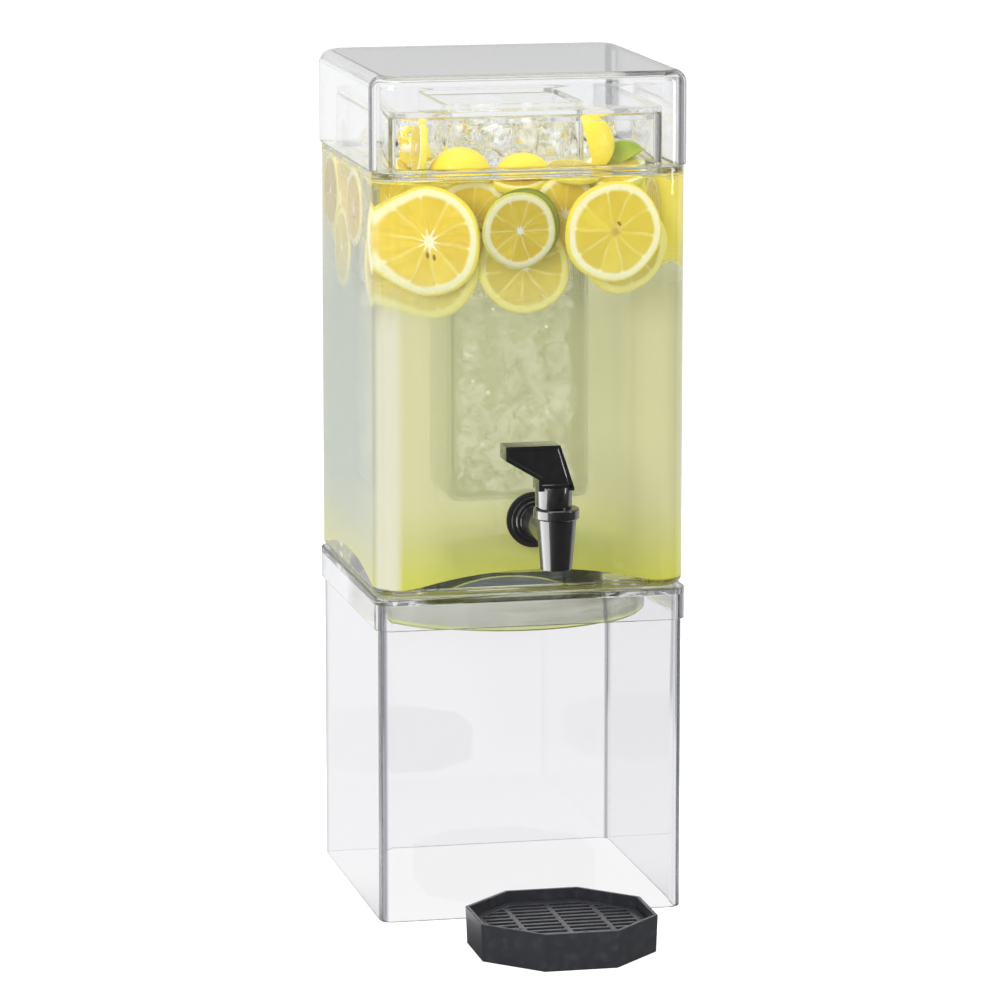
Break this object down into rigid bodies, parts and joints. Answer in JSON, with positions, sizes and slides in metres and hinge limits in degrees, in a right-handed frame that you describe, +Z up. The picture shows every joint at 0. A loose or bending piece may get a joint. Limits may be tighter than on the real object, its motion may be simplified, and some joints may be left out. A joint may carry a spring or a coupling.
{
  "type": "beverage dispenser",
  "caption": "Clear square infusion drink dispenser with a lift-off lid and a hanging ice chamber, on a clear stand, with a black self-closing lever tap and an octagonal drip tray.",
  "frame": {"origin": "on the table, at the middle of the whole set's length and width, tray in place", "axes": "+Z up; -Y towards the user, the tap and the drip tray; +X to the user's right"},
  "size_m": [0.213, 0.3535, 0.5644],
  "materials": {
    "clear_plastic": "clear, polished",
    "black_plastic": "gloss, moulded",
    "tray_plastic": "satin, moulded",
    "black_rubber": "matt",
    "white_silicone": "matt, slightly cloudy",
    "white_nylon": "matt",
    "steel_pin": "ground"
  },
  "bodies": {
    "stand": {"stand_walls": "clear_plastic", "stand_deck": "clear_plastic"},
    "tank": {"tank": "clear_plastic", "tap_body": "black_plastic", "tap_bonnet": "black_plastic", "outer_gasket": "black_rubber", "inner_gasket": "black_rubber", "slip_washer": "white_nylon", "shank_nut": "black_plastic"},
    "lid": {"lid": "clear_plastic"},
    "chamber": {"ice_chamber": "clear_plastic"},
    "valve": {"valve_stem": "black_plastic", "seat_cup": "white_silicone"},
    "lever": {"tap_lever": "black_plastic", "lever_pin": "steel_pin"},
    "tray": {"drip_tray": "tray_plastic"},
    "grille": {"drip_grille": "tray_plastic"}
  },
  "joints": [
    {"name": "tank_lift", "type": "slide", "parent": "stand", "child": "tank", "axis": [0, 0, 1], "range_m": [0, 0.08]},
    {"name": "lid_lift", "type": "slide", "parent": "tank", "child": "lid", "axis": [0, 0, 1], "range_m": [0, 0.32]},
    {"name": "chamber_lift", "type": "slide", "parent": "tank", "child": "chamber", "axis": [0, 0, 1], "range_m": [0, 0.28]},
    {"name": "valve_lift", "type": "slide", "parent": "tank", "child": "valve", "axis": [0, 0, 1], "range_m": [0, 0.0048]},
    {"name": "lever_tip", "type": "hinge", "parent": "valve", "child": "lever", "pos_m": [0, -0.10075, 0.29665], "axis": [0, -1, 0], "range_deg": [0, 30], "stiffness_Nm_per_rad": 0.3, "springref_deg": -14.32},
    {"name": "tray_slide", "type": "slide", "parent": "stand", "child": "tray", "axis": [0, -1, 0], "range_m": [0, 0.12]},
    {"name": "grille_lift", "type": "slide", "parent": "tray", "child": "grille", "axis": [0, 0, 1], "range_m": [0, 0.05]}
  ],
  "couplings": [
    {"joint": "chamber_lift", "follows": "lid_lift", "ratio": 0.85},
    {"joint": "valve_lift", "follows": "lever_tip", "m_per_rad": 0.009}
  ]
}
